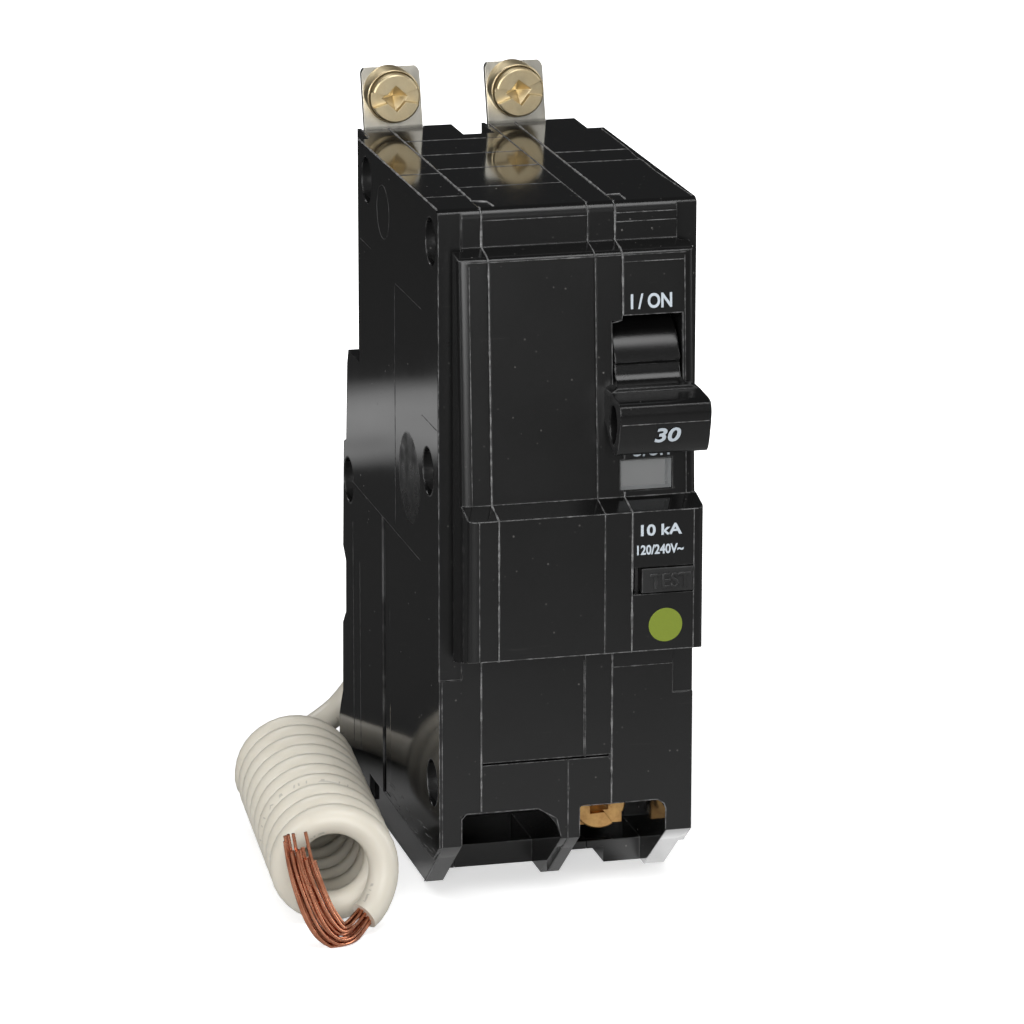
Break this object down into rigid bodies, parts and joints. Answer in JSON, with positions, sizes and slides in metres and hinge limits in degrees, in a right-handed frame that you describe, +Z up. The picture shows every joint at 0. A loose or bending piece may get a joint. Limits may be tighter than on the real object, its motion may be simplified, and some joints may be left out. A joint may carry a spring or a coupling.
{
  "type": "gfci breaker",
  "caption": "two-pole bolt-on ground-fault circuit breaker in a black moulded case, with a rocking handle, test button, clear trip window, line tabs, load terminals and a coiled white pigtail",
  "frame": {"origin": "on the floor, below the middle of the breaker's width and depth, without the pigtail", "axes": "+X to the right seen from the handle side, +Y from the handle towards the back, +Z up from the load end to the line tabs"},
  "size_m": [0.0642, 0.0971, 0.1134],
  "materials": {
    "case_phenolic": "glossy black moulded thermoset",
    "handle_phenolic": "glossy black moulded thermoset",
    "gland_rubber": "matte black",
    "clear_window": "clear moulded lens",
    "flag": "off-white",
    "tinned_copper": "tin-plated copper",
    "brass": "machined, lightly oxidised",
    "silver_contact": "silver alloy",
    "copper": "bare copper",
    "steel": "zinc-plated steel",
    "dark_steel": "blackened steel",
    "fibre": "moulded fibre",
    "board": "solder-masked laminate",
    "ferrite": "coated toroid",
    "ceramic": "dipped ceramic disc",
    "jacket": "white insulation, semi-gloss"
  },
  "bodies": {
    "case": {"left_cover": "case_phenolic", "middle_case": "case_phenolic", "centre_case": "case_phenolic", "right_case": "case_phenolic", "pigtail_gland": "gland_rubber", "trip_window": "clear_window", "line_tab_left": "tinned_copper", "line_tab_right": "tinned_copper", "load_strap_left": "tinned_copper", "load_strap_right": "tinned_copper", "bimetal_left": "brass", "bimetal_right": "brass", "fixed_contact_left": "silver_contact", "fixed_contact_right": "silver_contact", "braid_left": "copper", "braid_right": "copper", "test_contact": "copper", "pigtail_strands": "copper", "solenoid_coil": "copper", "case_rivet_1": "steel", "case_rivet_2": "steel", "case_rivet_3": "steel", "case_rivet_4": "steel", "case_rivet_5": "steel", "handle_pin": "steel", "test_spring": "steel", "toggle_spring_left": "steel", "toggle_spring_right": "steel", "arc_chute_left": "dark_steel", "arc_chute_right": "dark_steel", "magnet_yoke_left": "dark_steel", "magnet_yoke_right": "dark_steel", "circuit_board": "board", "sense_toroid_1": "ferrite", "sense_toroid_2": "ferrite", "surge_disc": "ceramic", "pigtail_lead": "jacket", "pigtail_coil": "jacket"},
    "handle_body": {"handle": "handle_phenolic"},
    "carriage": {"crossbar": "fibre", "contact_arm_left": "copper", "contact_arm_right": "copper", "moving_contact_left": "silver_contact", "moving_contact_right": "silver_contact"},
    "cradles": {"cradle_left": "steel", "cradle_right": "steel", "cradle_shaft": "steel"},
    "trip_shaft": {"trip_bar": "fibre"},
    "flag": {"trip_flag": "flag"},
    "test_key": {"test_button": "handle_phenolic"},
    "plunger": {"solenoid_plunger": "steel"},
    "armature_left": {"armature_left": "steel"},
    "armature_right": {"armature_right": "steel"},
    "line_screw_left": {"line_screw_left": "brass"},
    "line_screw_right": {"line_screw_right": "brass"},
    "load_screw_left": {"load_screw_left": "brass"},
    "load_screw_right": {"load_screw_right": "brass"},
    "load_clamp_left": {"load_clamp_left": "brass"},
    "load_clamp_right": {"load_clamp_right": "brass"}
  },
  "joints": [
    {"name": "handle_swing", "type": "hinge", "parent": "case", "child": "handle_body", "pos_m": [0.01038, -0.0246, 0.08005], "axis": [-1, 0, 0], "range_deg": [0, 46]},
    {"name": "contact_swing", "type": "hinge", "parent": "case", "child": "carriage", "pos_m": [0, 0.0134, 0.05205], "axis": [-1, 0, 0], "range_deg": [0, 22]},
    {"name": "cradle_swing", "type": "hinge", "parent": "case", "child": "cradles", "pos_m": [0, -0.0116, 0.09505], "axis": [1, 0, 0], "range_deg": [0, 12]},
    {"name": "trip_bar_swing", "type": "hinge", "parent": "case", "child": "trip_shaft", "pos_m": [0, -0.0066, 0.06005], "axis": [-1, 0, 0], "range_deg": [0, 12], "stiffness_Nm_per_rad": 0.002, "springref_deg": -5.73},
    {"name": "trip_flag_slide", "type": "slide", "parent": "case", "child": "flag", "axis": [0, 0, 1], "range_m": [0, 0.0042]},
    {"name": "test_press", "type": "slide", "parent": "case", "child": "test_key", "axis": [0, 1, 0], "range_m": [0, 0.001], "stiffness_N_per_m": 300, "springref_m": -0.0005, "deforming": ["test_spring"]},
    {"name": "plunger_slide", "type": "slide", "parent": "case", "child": "plunger", "axis": [0, -1, 0], "range_m": [0, 0.002], "stiffness_N_per_m": 120, "springref_m": -0.0005},
    {"name": "armature_swing_left", "type": "hinge", "parent": "case", "child": "armature_left", "pos_m": [-0.012, -0.0045, 0.0303], "axis": [-1, 0, 0], "range_deg": [0, 5], "stiffness_Nm_per_rad": 0.01},
    {"name": "armature_swing_right", "type": "hinge", "parent": "case", "child": "armature_right", "pos_m": [0.0085, -0.0045, 0.0303], "axis": [-1, 0, 0], "range_deg": [0, 5], "stiffness_Nm_per_rad": 0.01},
    {"name": "line_screw_turn_left", "type": "hinge", "parent": "case", "child": "line_screw_left", "pos_m": [-0.0123, 0.02824, 0.1093], "axis": [0, 1, 0], "continuous": true},
    {"name": "line_screw_turn_right", "type": "hinge", "parent": "case", "child": "line_screw_right", "pos_m": [0.0069, 0.02824, 0.1093], "axis": [0, 1, 0], "continuous": true},
    {"name": "load_screw_turn_left", "type": "hinge", "parent": "case", "child": "load_screw_left", "pos_m": [-0.0102, -0.0066, 0.0113], "axis": [0, 1, 0], "continuous": true},
    {"name": "load_screw_turn_right", "type": "hinge", "parent": "case", "child": "load_screw_right", "pos_m": [0.0089, -0.0126, 0.0094], "axis": [0, 1, 0], "continuous": true},
    {"name": "load_clamp_slide_left", "type": "slide", "parent": "case", "child": "load_clamp_left", "axis": [0, 1, 0], "range_m": [0, 0.0018]},
    {"name": "load_clamp_slide_right", "type": "slide", "parent": "case", "child": "load_clamp_right", "axis": [0, 1, 0], "range_m": [0, 0.0018]}
  ],
  "couplings": [
    {"joint": "contact_swing", "follows": "handle_swing", "ratio": 0.47826},
    {"joint": "trip_flag_slide", "follows": "trip_bar_swing", "m_per_rad": 0.02}
  ]
}
